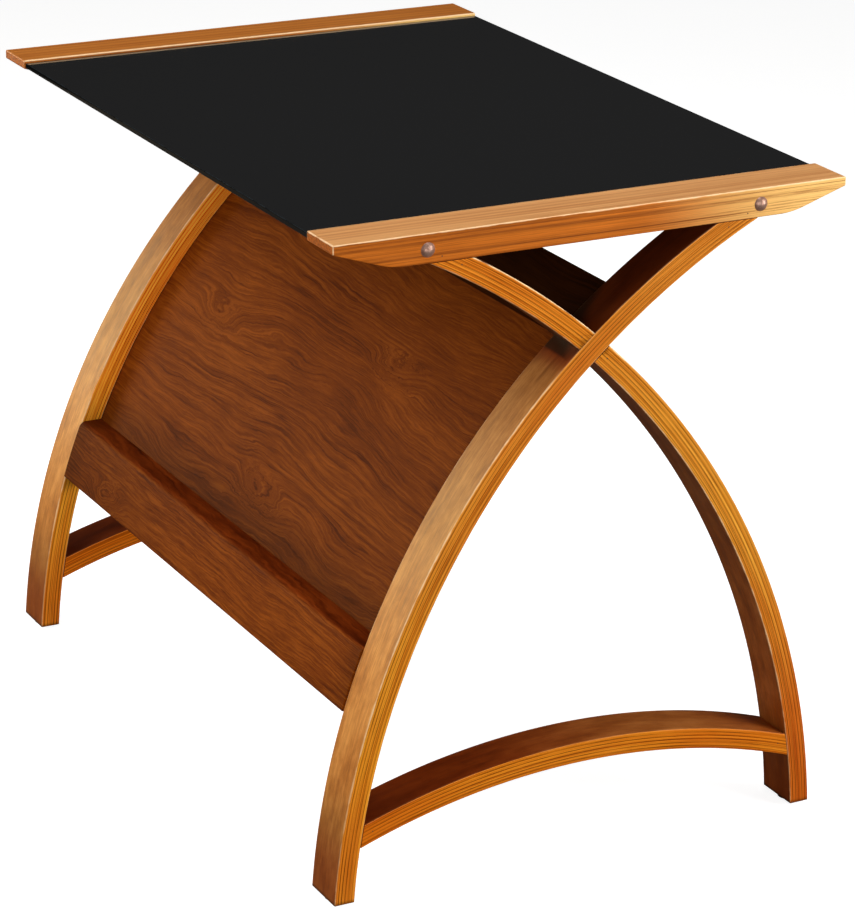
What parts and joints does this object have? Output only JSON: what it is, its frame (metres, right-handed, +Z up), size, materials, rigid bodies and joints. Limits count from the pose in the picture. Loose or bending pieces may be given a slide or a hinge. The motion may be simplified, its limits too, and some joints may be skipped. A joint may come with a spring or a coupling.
{
  "type": "drafting table",
  "caption": "Fixed-top drafting and writing table: black glass between boat-shaped rails, crossing bent legs, and a curved back panel with a display ledge.",
  "frame": {"origin": "centre of the footprint, on the floor under the foot glides", "axes": "+X along the table's width, -Y towards the seated user, +Y towards the back panel's ledge, +Z up"},
  "size_m": [0.9084, 0.61, 0.74],
  "materials": {
    "laminated_wood": "satin lacquer over bent laminations",
    "rail_wood": "satin lacquer",
    "dark_wood": "satin lacquer over dark stain",
    "dark_veneer": "satin lacquer over figured veneer",
    "plain_wood": "bare",
    "black_glass": "polished, opaque black",
    "clear_pad": "soft matte",
    "bronzed_steel": "antique bronze, polished dome",
    "zinc_steel": "zinc plated",
    "glide_plastic": "matte moulded"
  },
  "bodies": {
    "root": {"left_rear_leg": "laminated_wood", "left_front_leg": "laminated_wood", "left_stretcher": "laminated_wood", "left_top_rail": "rail_wood", "right_rear_leg": "laminated_wood", "right_front_leg": "laminated_wood", "right_stretcher": "laminated_wood", "right_top_rail": "rail_wood", "left_leg_tenons": "plain_wood", "right_leg_tenons": "plain_wood", "left_stretcher_tenons": "plain_wood", "right_stretcher_tenons": "plain_wood", "left_frame_brads": "zinc_steel", "right_frame_brads": "zinc_steel", "glass_top": "black_glass", "glass_pads": "clear_pad", "rear_cross_bar": "dark_wood", "front_cross_bar": "dark_wood", "cross_bar_dowels": "plain_wood", "back_panel": "dark_veneer", "ledge_rail": "dark_wood", "upper_cross_rail": "dark_wood", "ledge_dowels": "plain_wood", "upper_rail_dowels": "plain_wood", "panel_screws": "zinc_steel", "left_rail_bolts": "bronzed_steel", "right_rail_bolts": "bronzed_steel", "bolt_washers": "zinc_steel", "bolt_nuts": "zinc_steel", "foot_glides": "glide_plastic", "glide_nails": "zinc_steel"}
  },
  "joints": []
}
